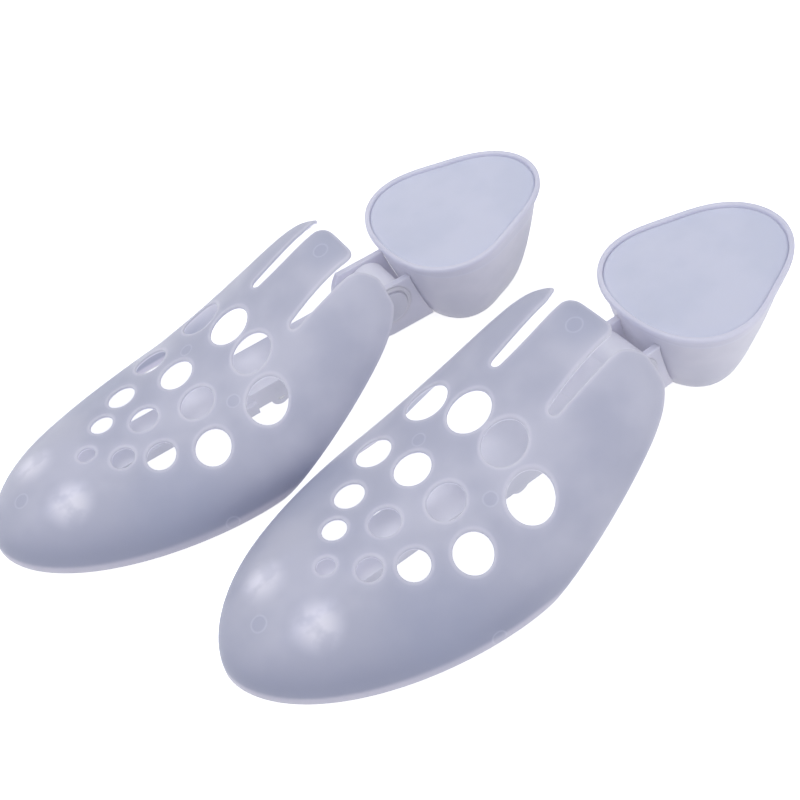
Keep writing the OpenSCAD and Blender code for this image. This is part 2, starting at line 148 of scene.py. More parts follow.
class NodeGraph:
    """Short ways to build the nodes of a material or a world."""

    def __init__(self, owner: ID) -> None:
        """Start with an empty graph.

        Args:
            owner: The material or world that the nodes belong to.
        """
        self.owner = owner
        owner.use_nodes = True
        self.tree = owner.node_tree
        self.tree.nodes.clear()

    def add(self, kind: str, **settings: object) -> Node:
        """Add a node, with its properties and its input values or links.

        Args:
            kind: The node's type without its ShaderNode prefix.
            **settings: Properties by name, and inputs as a dict named inputs.

        Returns:
            The new node.
        """
        node = self.tree.nodes.new("ShaderNode" + kind)
        inputs = settings.pop("inputs", {})
        for key, value in settings.items():
            setattr(node, key, value)
        for key, value in inputs.items():
            if isinstance(value, Socket):
                self.tree.links.new(value, node.inputs[key])
            else:
                node.inputs[key].default_value = value
        return node

    def maths(self, operation: str, first: object, second: object) -> Socket:
        """Combine two numbers or sockets."""
        return self.add("Math", operation=operation, inputs={0: first, 1: second}).outputs[0]

    def ramp(self, value: Socket, start: float, end: float,
             low: float = 0.0, high: float = 1.0) -> Socket:
        """Turn the range from start to end smoothly into the one from low to high."""
        return self.add("MapRange", interpolation_type="SMOOTHSTEP",
                        inputs={0: value, 1: start, 2: end, 3: low, 4: high}).outputs[0]

    def blend(self, factor: Socket, first: object, second: Colour,
              share: float = 1.0) -> Socket:
        """Mix a colour into another one.

        Args:
            factor: Socket that says where the second colour shows.
            first: A colour or a colour socket.
            second: The colour that is mixed in.
            share: How much of it shows where the factor is 1.

        Returns:
            The mixed colour's socket.
        """
        if share != 1.0:
            factor = self.maths("MULTIPLY", factor, share)
        base = first if isinstance(first, Socket) else (*first, 1.0)
        return self.add("Mix", data_type="RGBA",
                        inputs={0: factor, 6: base, 7: (*second, 1.0)}).outputs[2]

    def noise(self, where: Socket, scale: float, detail: float,
              roughness: float = 0.5) -> Socket:
        """Add a noise pattern."""
        return self.add("TexNoise", inputs={"Vector": where, "Scale": scale, "Detail": detail,
                                            "Roughness": roughness}).outputs["Fac"]

    def spot(self, where: Socket, centre: Place, reach: float, edge: float) -> Socket:
        """Mark a round spot that ends at reach, with a soft edge of the given width."""
        far = self.add("VectorMath", operation="DISTANCE", inputs={0: where, 1: centre})
        return self.ramp(far.outputs["Value"], reach, reach - edge)

    def seen(self) -> Socket:
        """Mark what the camera sees, straight or by way of gloss and clear pieces.

        Returns:
            A socket that is 1 on such rays.
        """
        path = self.add("LightPath").outputs
        bent = self.maths("MAXIMUM", path["Is Glossy Ray"], path["Is Transmission Ray"])
        return self.maths("MAXIMUM", path["Is Camera Ray"], bent)

    def surface(self, colour: Socket, rough: Socket, relief: Socket, strength: float,
                distance: float, **more: object) -> Material:
        """Finish a material with a Principled shader and a bump.

        Args:
            colour: The base colour.
            rough: The roughness.
            relief: The height that the bump follows.
            strength: The bump's strength.
            distance: The bump's depth in metres.
            **more: The shader's other inputs, with underscores for spaces.

        Returns:
            The material.
        """
        bump = self.add("Bump", inputs={"Strength": strength, "Distance": distance,
                                        "Height": relief})
        others = {key.replace("_", " "): value for key, value in more.items()}
        shader = self.add("BsdfPrincipled", inputs={
            "Base Color": colour, "Roughness": rough, "Normal": bump.outputs[0], **others})
        self.add("OutputMaterial", inputs={"Surface": shader.outputs[0]})
        return self.owner


@dataclass(frozen=True)
class FrostedPlastic:
    """Thin milky plastic with a fine frosted face."""

    name: str
    body: Colour
    shade: Colour
    # Colour of the painted glow along the rim.
    painted_glow: Colour
    rim_top: float = 4.6
    sheen_rough: float = 0.42
    patches: tuple[Spot, ...] = ()
    rings: tuple[Spot, ...] = ()
    # Spots of painted shade.
    painted_shade_spots: tuple[Spot, ...] = ()
    bands: tuple[float, ...] = ()
    lips: bool = False
    # Strengths of a painted glow on the inside and on the outside.
    inner_glow: float = 0.0
    outer_glow: float = 0.0
    # Share of painted shade that darkens the lower sides, most towards the toe.
    painted_low_shade: float = 0.0
    grain: Grain = Grain.FROSTED
    painted_low_shade_tone: Colour = tone(160, 164, 184)
    line_tone: Colour = tone(228, 229, 240)
    veil_tone: Colour = tone(205, 206, 222)
    painted_shade_tone: Colour = tone(164, 170, 191)
    patch_tone: Colour = tone(232, 231, 240)
    ring_tone: Colour = tone(226, 228, 240)
    disc_tone: Colour = tone(176, 179, 198)
    lip_tone: Colour = tone(228, 226, 236)

    def base_colour(self, graph: NodeGraph, where: Socket, clouds: Socket) -> Socket:
        """Colour the body, with painted shade on its lower side and a painted glow along its rim.

        Args:
            graph: The material's nodes.
            where: Place on the piece in millimetres.
            clouds: Broad uneven pattern.

        Returns:
            The colour's socket.
        """
        parts = graph.add("SeparateXYZ", inputs={0: where}).outputs
        colour = graph.blend(graph.ramp(clouds, 0.38, 0.66), self.body, self.shade)
        # Painted shade: the lower sides are darkened, most towards the toe.
        if self.painted_low_shade:
            low_shade_mask = graph.maths("MULTIPLY", graph.ramp(parts["Z"], 20.0, 6.0),
                              graph.ramp(parts["X"], 120.0, 75.0, 0.15, 1.0))
            colour = graph.blend(low_shade_mask, colour, self.painted_low_shade_tone, self.painted_low_shade)
        # Painted light: the band along the rim is lightened, as if lit from the floor through the
        # wall.
        if self.rim_top:
            low = graph.ramp(parts["Z"], self.rim_top, self.rim_top * 0.5)
            colour = graph.blend(low, colour, self.painted_glow, 0.8)
        for level in self.bands:
            line = graph.maths("MULTIPLY", graph.ramp(parts["Z"], level - 0.35, level + 0.35),
                               graph.ramp(parts["Z"], level + 1.1, level + 0.4))
            colour = graph.blend(line, colour, self.line_tone, 0.35)
            veil = graph.ramp(parts["Z"], level - 0.5, level + 0.5)
            colour = graph.blend(veil, colour, self.veil_tone, 0.35)
        return colour

    def material(self) -> Material:
        """Build the finish.

        Returns:
            The material.
        """
        graph = NodeGraph(bpy.data.materials.new(self.name))
        where = graph.add("Attribute", attribute_name=LOCAL).outputs["Vector"]
        clouds = graph.noise(where, 0.035, 3.0)
        frost = graph.noise(where, 2.2 * self.grain.value, 4.0, 0.6)
        colour = self.base_colour(graph, where, clouds)
        relief = graph.maths("MULTIPLY", frost, 0.10)
        # Painted shade: darker spots at the tongue's tip and on the middle of both sides.
        for x, y, z, size in self.painted_shade_spots:
            shade_spot = graph.spot(where, (x, y, z), size, size * 0.7)
            colour = graph.blend(shade_spot, colour, self.painted_shade_tone, 0.4)
        for x, y, z, size in self.patches:
            wisp = graph.ramp(graph.noise(where, 0.16, 2.0), 0.35, 0.6, 0.45, 1.0)
            mark = graph.maths("MULTIPLY", graph.spot(where, (x, y, z), size, size * 0.9), wisp)
            colour = graph.blend(mark, colour, self.patch_tone)
        for x, y, z, size in self.rings:
            inner = graph.spot(where, (x, y, z), size - 0.6, 0.5)
            ring = graph.maths("SUBTRACT", graph.spot(where, (x, y, z), size, 0.5), inner)
            colour = graph.blend(ring, colour, self.ring_tone, 0.22)
            colour = graph.blend(inner, colour, self.disc_tone, 0.25)
            relief = graph.maths("ADD", relief, graph.maths("MULTIPLY", ring, 0.6))
        if self.lips:
            edge = graph.add("Attribute", attribute_name=EDGE).outputs["Fac"]
            near = graph.maths("ADD", graph.ramp(edge, 1.2, 0.2, 0.0, 0.3),
                               graph.ramp(edge, 4.0, 0.5, 0.0, 0.10))
            colour = graph.blend(near, colour, self.lip_tone)
        rough = graph.maths("ADD", graph.ramp(clouds, 0.3, 0.7, self.sheen_rough - 0.05,
                                              self.sheen_rough + 0.05),
                            graph.maths("MULTIPLY", frost, 0.08))
        # Painted glow: the emission lightens the piece, with its own strength inside and outside.
        painted_glow = self.outer_glow
        if self.inner_glow != self.outer_glow:
            within = graph.add("Attribute", attribute_name=UNDERSIDE).outputs["Fac"]
            painted_glow = graph.ramp(within, 0.3, 1.0, self.outer_glow, self.inner_glow)
        return graph.surface(
            colour, rough, relief, 0.25, 0.0004, IOR=1.46, Subsurface_Weight=0.8,
            Subsurface_Radius=(0.95, 0.97, 1.0), Subsurface_Scale=0.003,
            Specular_IOR_Level=0.45, Emission_Color=colour, Emission_Strength=painted_glow)


@dataclass(frozen=True)
class SatinPlastic:
    """Thicker moulded plastic of the rail, arm, latch and pins."""

    name: str
    body: Colour
    shade: Colour
    # Strength of a painted glow that lightens the moulding.
    inner_glow: float = 0.3
    grain: Grain = Grain.SATIN

    def material(self) -> Material:
        """Build the finish.

        Returns:
            The material.
        """
        graph = NodeGraph(bpy.data.materials.new(self.name))
        where = graph.add("TexCoord").outputs["Object"]
        clouds = graph.noise(where, 45.0, 3.0)
        colour = graph.blend(graph.ramp(clouds, 0.35, 0.68), self.body, self.shade)
        along = graph.add("Mapping", inputs={"Vector": where, "Scale": (0.2, 1.0, 1.0)})
        flow = graph.noise(along.outputs[0], 900.0 * self.grain.value, 4.0)
        # The emission is a painted glow that lightens the whole moulding.
        return graph.surface(
            colour, graph.ramp(flow, 0.3, 0.7, 0.34, 0.46), flow, 0.12, 0.0003, IOR=1.48,
            Subsurface_Weight=0.15, Subsurface_Radius=(0.9, 0.95, 1.0), Subsurface_Scale=0.002,
            Emission_Color=colour, Emission_Strength=self.inner_glow)


@dataclass(frozen=True)
class DrawnSteel:
    """Bright wire and pin steel with fine lengthwise drawing marks."""

    name: str = "drawn_steel"
    body: Colour = tone(196, 198, 202)
    shade: Colour = tone(150, 152, 157)

    def material(self) -> Material:
        """Build the finish.

        Returns:
            The material.
        """
        graph = NodeGraph(bpy.data.materials.new(self.name))
        where = graph.add("TexCoord").outputs["Object"]
        along = graph.add("Mapping", inputs={"Vector": where, "Scale": (1.0, 0.08, 1.0)})
        marks = graph.noise(along.outputs[0], 6000.0, 3.0)
        return graph.surface(graph.blend(marks, self.body, self.shade),
                             graph.ramp(marks, 0.3, 0.7, 0.2, 0.38), marks, 0.1, 0.0001,
                             Metallic=1.0)


def mesh_piece(name: str, bm: BMesh, matrix: Matrix, material: Material,
               body: str) -> Object:
    """Turn a bmesh in a stretcher's own frame into a finished piece.

    Args:
        name: Name of the piece.
        bm: The mesh in millimetres, freed here.
        matrix: From the stretcher's own frame to the pair's metres.
        material: The piece's finish.
        body: The CAD body that the piece rides on.

    Returns:
        The new object.
    """
    layer = bm.verts.layers.float_vector.new(LOCAL)
    for vert in bm.verts:
        vert[layer] = vert.co
    bmesh.ops.transform(bm, matrix=matrix, verts=bm.verts[:])
    piece = add_mesh(name, bm, material)
    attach(piece, body)
    return piece


def made_verts(made: list) -> list[BMVert]:
    """Pick the points out of what an operator made."""
    return [g for g in made if isinstance(g, BMVert)]


def made_edges(made: list) -> list[BMEdge]:
    """Pick the edges out of what an operator made."""
    return [g for g in made if isinstance(g, BMEdge)]


def add_plate(bm: BMesh, outline: Iterable[tuple[float, float]], y: float,
              thick: float, soften: float = 0.0) -> set[BMVert]:
    """Add an upright plate, with its edges softened where that is asked.

    Args:
        bm: The mesh that gains it.
        outline: Its outline in side view.
        y: The side from which it is thick.
        thick: Its thickness.
        soften: Width of the edges' rounding.

    Returns:
        The plate's points before the rounding.
    """
    corners = [bm.verts.new((x, y, z)) for x, z in outline]
    made = bmesh.ops.extrude_face_region(bm, geom=[bm.faces.new(corners)])["geom"]
    moved = made_verts(made)
    bmesh.ops.translate(bm, vec=(0, thick, 0), verts=moved)
    part = set(corners) | set(moved)
    sides = [f for f in bm.faces if all(v in part for v in f.verts)]
    bmesh.ops.recalc_face_normals(bm, faces=sides)
    if soften:
        rims = {e for f in sides if len(f.verts) > 4 for e in f.edges}
        bmesh.ops.bevel(bm, geom=list(rims), offset=soften, segments=3, profile=0.5,
                        affect="EDGES", material=-1)
    return part


def lengths(path: np.ndarray) -> np.ndarray:
    """Measure how far each point lies along a path."""
    return np.concatenate([[0], np.cumsum(np.linalg.norm(np.diff(path, axis=0), axis=1))])


def bezier(knots: Iterable[np.ndarray], count: int) -> np.ndarray:
    """Draw a curve with four knots.

    Args:
        knots: The two ends, with the two pulls between them.
        count: Number of points.

    Returns:
        The points, one a row.
    """
    a, b, c, d = knots
    t = np.linspace(0, 1, count)[:, None]
    return ((1 - t) ** 3 * a + 3 * (1 - t) ** 2 * t * b + 3 * (1 - t) * t * t * c + t ** 3 * d)


def evenly(points: np.ndarray, step: float, closed: bool = False) -> np.ndarray:
    """Space the points of a path evenly.

    Args:
        points: The path's points, one a row.
        step: Wanted distance between neighbours.
        closed: Whether the path returns to its first point.

    Returns:
        The new points; a closed path doesn't repeat its first one.
    """
    path = np.vstack([points, points[:1]]) if closed else points
    run = lengths(path)
    at = np.linspace(0, run[-1], max(2, int(round(run[-1] / step))) + 1)
    spaced = np.stack([np.interp(at, run, path[:, k]) for k in range(path.shape[1])], 1)
    return spaced[:-1] if closed else spaced


def inside(points: np.ndarray, loop: np.ndarray) -> np.ndarray:
    """Tell which points of a plane lie inside a closed loop.

    Args:
        points: The points that are tested.
        loop: The loop's points.

    Returns:
        A flag for each point.
    """
    result = np.zeros(len(points), bool)
    for (ax, ay), (bx, by) in zip(loop, np.roll(loop, -1, 0)):
        if ay == by:
            continue
        cross = (points[:, 1] < ay) != (points[:, 1] < by)
        result ^= cross & (points[:, 0] < (bx - ax) * (points[:, 1] - ay) / (by - ay) + ax)
    return result


def gaps(points: np.ndarray, others: np.ndarray) -> np.ndarray:
    """Measure how far each flat point is from the nearest of others.

    Args:
        points: The points that are measured.
        others: The points that they are measured from.

    Returns:
        The distances.
    """
    tree = KDTree(len(others))
    for i, (a, b) in enumerate(others):
        tree.insert((a, b, 0), i)
    tree.balance()
    return np.array([tree.find((a, b, 0))[2] for a, b in points])


def smooth(value: np.ndarray) -> np.ndarray:
    """Ease a value from 0 to 1 without corners."""
    t = np.clip(value, 0, 1)
    return t * t * (3 - 2 * t)


def unit(vectors: np.ndarray) -> np.ndarray:
    """Give each row the length 1."""
    return vectors / np.maximum(np.linalg.norm(vectors, axis=-1, keepdims=True), 1e-9)


@dataclass
class ForepartShell:
    """Thin vented shell over the front of the shoe, with a tongue and two wings.

    The shell is a skin with round holes on a doubly curved form, whose wall is drawn
    straight up near them. No single operator gives that, so the skin is laid out flat,
    filled with a triangulation, and folded back onto the form before its lips are extruded.
    """

    length: float = 159.0
    width: float = 95.0
    widest_at: float = 86.0
    rear_draw: float = 8.0
    toe_height: float = 21.5
    toe_length: float = 34.0
    instep_from: float = 38.0
    instep_height: float = 54.8
    instep_start: float = 2.4
    instep_end: float = 1.45
    curl_length: float = 6.0
    tongue_curl: float = 1.5
    arch_front: float = 2.1
    arch_rear: float = 2.7
    toe_power: float = 1.85
    tip_power: float = 2.2
    wall: float = 1.5
    first_vent_x: float = 42.3
    first_vent: float = 6.4
    vent_step: float = 2.2
    vent_spread: float = 18.0
    slit_width: float = 4.2
    slit_x: float = 126.5
    slit_y: float = 14.3
    slit_flare: float = 6.0
    tongue_half: float = 11.0
    tongue_corner: float = 5.0
    tongue_short: float = 2.0
    wing_height: float = 43.5
    rim_lift_x: float = 91.0
    web_y: float = 11.05
    web_thick: float = 3.0
    web_bottom: float = 8.5
    lip: float = 0.55
    grid: float = 1.8
    first_row: float = 1.05
    row_clear: float = 0.8
    grid_clear: float = 1.75
    drawn_reach: float = 6.0
    level_below: float = 5.0
    wing_past: float = 0.5
    rim_cut: float = 5.0
    wing_cut: float = 4.5
    table: tuple = field(init=False, repr=False)

    def __post_init__(self) -> None:
        """Measure the ridge, so that the form can be laid out flat."""
        u = np.linspace(0, 1, 1501) ** 1.5
        x = self.from_toe(u)
        self.table = (u, x, lengths(np.stack([x, self.ridge(x)], 1)))

    def from_toe(self, u: np.ndarray) -> np.ndarray:
        """Give the distance from the toe, spaced closely at the toe."""
        return self.length * u * u * (1.6 - 0.6 * u)

    def half_width(self, x: np.ndarray) -> np.ndarray:
        """Give the half width.

        Args:
            x: Distances from the toe.

        Returns:
            The half widths.
        """
        ahead = np.maximum(0, 1 - x / self.widest_at)
        behind = np.maximum(0, (x - self.widest_at) / (self.length - self.widest_at))
        cap = np.maximum(0, 1 - ahead ** self.toe_power) ** (1 / self.toe_power)
        return self.width / 2 * cap - self.rear_draw * behind ** 2

    def ridge(self, x: np.ndarray) -> np.ndarray:
        """Give the height of the middle line.

        Args:
            x: Distances from the toe.

        Returns:
            The heights.
        """
        crest = self.length - self.curl_length
        ahead = np.maximum(0, 1 - x / self.toe_length)
        rise = np.clip((x - self.instep_from) / (crest - self.instep_from), 0, 1)
        past = np.maximum(0, (x - crest) / self.curl_length)
        cap = np.maximum(0, 1 - ahead ** self.tip_power) ** (1 / self.tip_power)
        climb = 1 - (1 - rise ** self.instep_start) ** self.instep_end
        return (self.toe_height * cap + (self.instep_height - self.toe_height) * climb
                - self.tongue_curl * past * past)

    def arch(self, x: np.ndarray) -> np.ndarray:
        """Give the squareness of the cross-section at a distance from the toe."""
        share = np.clip((x - self.widest_at) / (self.length - 12 - self.widest_at), 0, 1)
        return self.arch_front + (self.arch_rear - self.arch_front) * share

    def skin(self, u: np.ndarray, turn: np.ndarray) -> np.ndarray:
        """Give points of the outside.

        Args:
            u: Place from the toe, 0, to the rear, 1.
            turn: Angle over the shell, from 0 at its right rim to pi at its left one.

        Returns:
            The points, one a row.
        """
        x = self.from_toe(u)
        power = 2 / self.arch(x)
        c, s = np.cos(turn), np.maximum(0, np.sin(turn))
        return np.stack([x, -self.half_width(x) * np.sign(c) * np.abs(c) ** power,
                         self.ridge(x) * s ** power], -1)

    def outward(self, u: np.ndarray, turn: np.ndarray) -> np.ndarray:
        """Find the directions square to the outside.

        Args:
            u: Place from the toe, 0, to the rear, 1.
            turn: Angle over the shell.

        Returns:
            Unit vectors, one a row.
        """
        small, slight = 0.004, 0.012
        along = (self.skin(np.minimum(1, u + small), turn)
                 - self.skin(np.maximum(0, u - small), turn))
        over = (self.skin(u, np.minimum(math.pi, turn + slight))
                - self.skin(u, np.maximum(0, turn - slight)))
        return unit(np.cross(along, over))

    def arcs(self, u: np.ndarray, end: np.ndarray,
             count: int = 64) -> tuple[np.ndarray, np.ndarray]:
        """Measure the cross-sections from the ridge down.

        Args:
            u: Place of each cross-section.
            end: Turn at which each measurement ends, between pi / 2 and pi.
            count: Number of steps.

        Returns:
            The turns and the lengths up to them, one row for each cross-section.
        """
        share = (1 - np.cos(np.linspace(0, math.pi, count + 1))) / 2
        turns = math.pi / 2 + (end - math.pi / 2)[:, None] * share
        points = self.skin(np.repeat(u[:, None], count + 1, 1), turns)
        steps = np.linalg.norm(np.diff(points, axis=1), axis=2)
        return turns, np.concatenate([np.zeros((len(u), 1)), np.cumsum(steps, 1)], 1)

    def lay_flat(self, x: np.ndarray, turn: np.ndarray) -> np.ndarray:
        """Lay points of the left half out flat.

        Args:
            x: Distances from the toe.
            turn: Turns between pi / 2 and pi.

        Returns:
            Places along and across.
        """
        places, at, run = self.table
        u = np.interp(x, at, places)
        return np.stack([np.interp(u, places, run), self.arcs(u, turn)[1][:, -1]], 1)

    def fold_back(self, flat: np.ndarray) -> tuple[np.ndarray, np.ndarray]:
        """Find the skin's own coordinates of flat places.

        Args:
            flat: Places along and across.

        Returns:
            The places from toe to rear, and the turns.
        """
        u = np.interp(flat[:, 0], self.table[2], self.table[0])
        turns, run = self.arcs(u, np.full(len(u), math.pi))
        want = np.minimum(np.abs(flat[:, 1]), run[:, -1])
        k = np.clip((run < want[:, None]).sum(1), 1, run.shape[1] - 1)
        row = np.arange(len(u))
        low, high = run[row, k - 1], run[row, k]
        share = (want - low) / np.maximum(high - low, 1e-9)
        turn = turns[row, k - 1] + (turns[row, k] - turns[row, k - 1]) * share
        return u, np.where(flat[:, 1] >= 0, turn, math.pi - turn)

    def turn_at(self, x: np.ndarray, y: np.ndarray) -> np.ndarray:
        """Give the turn of a place seen from above, for y of 0 or more."""
        share = np.clip(y / self.half_width(x), 0, 1) ** (self.arch(x) / 2)
        return math.pi - np.arccos(share)

    def turn_up(self, x: np.ndarray, z: np.ndarray) -> np.ndarray:
        """Give the turn of a place on the left seen from the side."""
        return math.pi - np.arcsin(np.clip(z / self.ridge(x), 0, 1) ** (self.arch(x) / 2))

    def vents(self) -> list[tuple[float, float, float]]:
        """List the vents from the toe: one, two, three, four and four.

        Returns:
            Each vent's x, y and diameter.
        """
        rows = ((0, 0, 10, 0, (0,)), (10, 0, 10, 1, (-1, 1)),
                (23.5, 2, self.vent_spread, 2, (-1, 0, 1)),
                (44, 4, self.vent_spread, 3, (-1.5, -0.5, 0.5, 1.5)),
                (69.5, 5, self.vent_spread, 4.1, (-1.5, -0.5, 0.5, 1.5)))
        return [(self.first_vent_x + behind - bow * abs(s), s * spread,
                 self.first_vent + grow * self.vent_step)
                for behind, bow, spread, grow, places in rows for s in places]

    def rim_path(self) -> np.ndarray:
        """Follow the left rim from the tip of the toe up to the rear of the wing.

        Returns:
            The flat path, set back by the lip's radius.
        """
        low = (1 - (self.lip / self.toe_height) ** self.tip_power) ** (1 / self.tip_power)
        tip, end = self.toe_length * (1 - low), self.length - self.lip
        rear = self.length + self.wing_past
        knots = np.array([[self.rim_lift_x, -1.5], [self.rim_lift_x + 26, 10],
                          [rear - 3.5, self.wing_height - 9], [rear, self.wing_height]])
        curve = bezier(knots, 200)
        slope = unit(np.gradient(curve, axis=0))
        curve = curve + self.lip * np.stack([-slope[:, 1], slope[:, 0]], 1)
        x = tip + (end - tip) * np.linspace(0, 1, 1800) ** 4
        x = np.unique(np.concatenate([x, np.linspace(60, end, 400)]))
        swept = np.interp(x, curve[:, 0], curve[:, 1])
        first = curve[1] - curve[0]
        swept = np.where(x < curve[0, 0],
                         curve[0, 1] + (x - curve[0, 0]) * first[1] / first[0], swept)
        ease = 0.9
        z = self.lip + ease * np.logaddexp(0, (swept - self.lip) / ease)
        return self.lay_flat(x, self.turn_up(x, z))

    def tongue_path(self) -> tuple[np.ndarray, np.ndarray]:
        """Follow the left slit and the left half of the tongue.

        Returns:
            The flat path of the wing's inner edge from the rear to the slit's closed end,
            and the one from there round the tongue to its middle.
        """
        r, corner, end = self.lip, self.tongue_corner, self.length - self.tongue_short
        radius = self.slit_width / 2 + r
        x = np.linspace(self.length - r, self.slit_x, 160)
        flare = self.slit_flare * np.maximum(0, (x - self.length + 10) / 10) ** 2
        outer = self.lay_flat(x, self.turn_at(x, self.slit_y + radius + flare))
        closed = np.linspace(math.pi / 2, 3 * math.pi / 2, 60)
        side = np.linspace(self.slit_x, end - corner, 160)
        reach = (self.length + 12 - self.slit_x) / 8 * 3
        part = np.maximum(0, 1 - (side - self.slit_x) / reach) ** 2
        swell = (self.slit_y - self.slit_width / 2 - self.tongue_half) * part
        bend = np.linspace(math.pi / 2, 0, 40)
        x = np.concatenate([self.slit_x + radius * np.cos(closed), side,
                            end - corner + (corner - r) * np.cos(bend), np.full(20, end - r)])
        y = np.concatenate([self.slit_y + radius * np.sin(closed), self.tongue_half - r + swell,
                            self.tongue_half - corner + (corner - r) * np.sin(bend),
                            np.linspace(self.tongue_half - corner, 0, 20)])
        return outer, self.lay_flat(x, self.turn_at(x, y))

    def outline(self, step: float = 1.25) -> tuple[np.ndarray, np.ndarray]:
        """Lay the shell's whole edge out flat.

        Args:
            step: Distance between neighbouring points.

        Returns:
            The loop's points, and flags for those cut straight up.
        """
        def cut_back(path: np.ndarray, reach: float) -> tuple[np.ndarray, np.ndarray]:
            """Shorten a path at its end.

            Args:
                path: The path.
                reach: The length that is taken off.

            Returns:
                What is left, and the direction at its end.
            """
            run = lengths(path)
            keep = path[run < run[-1] - reach]
            return keep, unit(keep[-1] - keep[-4])

        rim, (wing, tongue) = self.rim_path(), self.tongue_path()
        rear = rim[-1, 0]
        rim, go = cut_back(rim, self.rim_cut)
        back, come = cut_back(wing[::-1], self.wing_cut)
        a, d = rim[-1], back[-1]
        pull = 0.5 * np.linalg.norm(a - d)
        tip = bezier((a, a + go * pull, d + come * pull, d), 60)
        tip[:, 0] = np.minimum(tip[:, 0], rear)
        plain = evenly(np.vstack([rim, tip[1:]]), step)
        drawn = evenly(np.vstack([back[::-1], tongue[1:]]), step)
        half = np.vstack([plain[:-1], drawn])
        flags = np.concatenate([np.zeros(len(plain) - 1, bool), np.ones(len(drawn), bool)])
        half[0, 1] = half[-1, 1] = 0.0
        other = half[1:-1][::-1] * [1, -1]
        return np.vstack([half, other]), np.concatenate([flags, flags[1:-1][::-1]])

    def vent_loops(self, step: float = 1.15) -> list[np.ndarray]:
        """Lay the vents' edges out flat.

        Args:
            step: Distance between neighbouring points.

        Returns:
            One loop for each vent.
        """
        loops = []
        swing = np.linspace(0, 2 * math.pi, 240, endpoint=False)
        for x, y, d in self.vents():
            radius = d / 2 + self.lip
            xs, ys = x + radius * np.cos(swing), y + radius * np.sin(swing)
            flat = self.lay_flat(xs, self.turn_at(xs, np.abs(ys)))
            flat[:, 1] *= np.sign(ys)
            loops.append(evenly(flat, step, closed=True))
        return loops

    def grid_points(self) -> np.ndarray:
        """Cover the flat form with rows of points, every second one shifted.

        Returns:
            The points.
        """
        rows = []
        for k, a in enumerate(np.arange(self.grid, self.table[2][-1], self.grid * 0.87)):
            u = np.interp([a], self.table[2], self.table[0])
            half = self.arcs(u, np.array([math.pi]))[1][0, -1]
            b = np.linspace(-half, half, max(2, int(round(2 * half / self.grid))) + 1)
            b = b[:-1] + (b[1] - b[0]) * (0.5 if k % 2 else 0.0)
            rows.append(np.stack([np.full(len(b), a), b], 1))
        return np.vstack(rows)

    def flat_mesh(self) -> tuple[np.ndarray, list, list[np.ndarray], list[np.ndarray], np.ndarray]:
        """Fill the flat outline between the vents with triangles.

        Returns:
            The points, the triangles, the loops' point numbers, the loops' directions
            into the material, and flags for the points on edges that are cut straight up.
        """
        edge, flags = self.outline()
        loops = [edge] + self.vent_loops()

        def within(points: np.ndarray) -> np.ndarray:
            """Tell which points lie in the material.

            Args:
                points: The points that are tested.

            Returns:
                A flag for each point.
            """
            keep = inside(points, edge)
            for loop in loops[1:]:
                keep &= ~inside(points, loop)
            return keep

        inward, near = [], []
        for k, loop in enumerate(loops):
            ahead = unit(np.roll(loop, -1, 0) - np.roll(loop, 1, 0))
            side = np.stack([-ahead[:, 1], ahead[:, 0]], 1)
            test = inside(loop + side * 0.05, loop)
            inward.append(np.where((test if k == 0 else ~test)[:, None], side, -side))
            near.append(loop + inward[-1] * self.first_row)
        fixed, near, grid = np.vstack(loops), np.vstack(near), self.grid_points()
        grid = grid[within(grid)]
        points = np.vstack([fixed, near[gaps(near, fixed) > self.row_clear],
                            grid[gaps(grid, fixed) > self.grid_clear]])
        segments, numbers, start = [], [], 0
        for loop in loops:
            ring = np.arange(start, start + len(loop))
            numbers.append(ring)
            segments += list(zip(ring.tolist(), np.roll(ring, -1).tolist()))
            start += len(loop)
        result = delaunay_2d_cdt([Vector(p) for p in points], segments, [], 0, 1e-7)
        faces = np.array([[result[3][v][0] for v in f] for f in result[2] if len(f) == 3])
        drawn = np.zeros(len(points), bool)
        drawn[:start] = True
        drawn[:len(edge)] = flags
        return points, faces[within(points[faces].mean(1))].tolist(), numbers, inward, drawn

    def form(self) -> BMesh:
        """Build the whole skin with its wall and rounded lips.

        Returns:
            A closed mesh in millimetres.
        """
        flat, faces, numbers, inward, drawn = self.flat_mesh()
        u, turn = self.fold_back(flat)
        outer, out = self.skin(u, turn), self.outward(u, turn)
        upright = smooth(1 - gaps(flat, flat[drawn]) / self.drawn_reach)[:, None]
        into = out * (1 - upright) + np.array([0, 0, 1.0]) * upright
        into[:, 2] *= smooth(outer[:, 2] / self.level_below)
        into = unit(into)
        inner = outer - into * self.wall / np.maximum(0.4, (out * into).sum(1, keepdims=True))
        inner[:, 2] = np.maximum(inner[:, 2], self.lip)
        reach = np.zeros_like(outer)
        for ring, side in zip(numbers, inward):
            away = unit(outer[ring] - self.skin(*self.fold_back(flat[ring] + side * 0.4)))
            spread = np.maximum(0.6, np.linalg.norm(away[:, :2], axis=1, keepdims=True))
            reach[ring] = np.where(drawn[ring][:, None], away / spread, away)
        reach[outer[:, 2] < self.lip + 0.02] = [0, 0, -1]
        near = gaps(flat, flat[np.concatenate(numbers)])
        return self.fold_lips(outer, inner, into, reach, faces, near)

